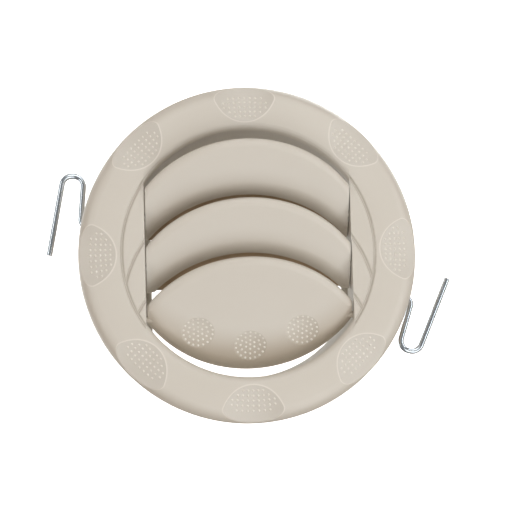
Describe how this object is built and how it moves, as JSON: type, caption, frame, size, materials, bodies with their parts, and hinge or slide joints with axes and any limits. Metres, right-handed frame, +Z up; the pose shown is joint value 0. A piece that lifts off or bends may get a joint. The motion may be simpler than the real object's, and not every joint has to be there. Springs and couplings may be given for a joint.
{
  "type": "ventilation grille",
  "caption": "Round duct ventilation grille: a crowned ring with finger scoops and a spigot, ganged tilting slats that open and close the air way, and wire spring clips that hold it in the duct.",
  "frame": {"origin": "on the spigot's axis, in the plane of the wall that the ring lies against", "axes": "+X to the right seen from the room, +Y back into the duct along the spigot, +Z up"},
  "size_m": [0.1575, 0.0469, 0.13],
  "materials": {
    "ring_plastic": "satin moulded ABS, warm light grey",
    "slat_plastic": "satin moulded ABS, warm light grey",
    "clip_wire": "bright zinc-plated spring wire"
  },
  "bodies": {
    "frame": {"grille_body": "ring_plastic"},
    "upper": {"upper_slat": "slat_plastic"},
    "middle": {"middle_slat": "slat_plastic"},
    "lower": {"lower_slat": "slat_plastic"},
    "link": {"tie_bar": "slat_plastic"},
    "left_spring": {"left_clip": "clip_wire"},
    "right_spring": {"right_clip": "clip_wire"}
  },
  "joints": [
    {"name": "lower_tilt", "type": "hinge", "parent": "frame", "child": "lower", "pos_m": [0, -0.005, -0.02452], "axis": [1, 0, 0], "range_deg": [-29, 41]},
    {"name": "middle_tilt", "type": "hinge", "parent": "frame", "child": "middle", "pos_m": [0, -0.005, -0.00502], "axis": [1, 0, 0], "range_deg": [-29, 41]},
    {"name": "upper_tilt", "type": "hinge", "parent": "frame", "child": "upper", "pos_m": [0, -0.005, 0.01448], "axis": [1, 0, 0], "range_deg": [-29, 41]},
    {"name": "bar_swing", "type": "hinge", "parent": "lower", "child": "link", "pos_m": [-0.0248, 0.00614, -0.03121], "axis": [1, 0, 0], "range_deg": [-41, 29]},
    {"name": "left_fold", "type": "hinge", "parent": "frame", "child": "left_spring", "pos_m": [-0.0444, 0.004, 0], "axis": [0, 0, -1], "range_deg": [0, 70], "stiffness_Nm_per_rad": 0.05},
    {"name": "right_fold", "type": "hinge", "parent": "frame", "child": "right_spring", "pos_m": [0.0444, 0.004, 0], "axis": [0, 0, 1], "range_deg": [0, 70], "stiffness_Nm_per_rad": 0.05}
  ],
  "couplings": [
    {"joint": "middle_tilt", "follows": "lower_tilt", "ratio": 1},
    {"joint": "upper_tilt", "follows": "lower_tilt", "ratio": 1},
    {"joint": "bar_swing", "follows": "lower_tilt", "ratio": -1}
  ]
}
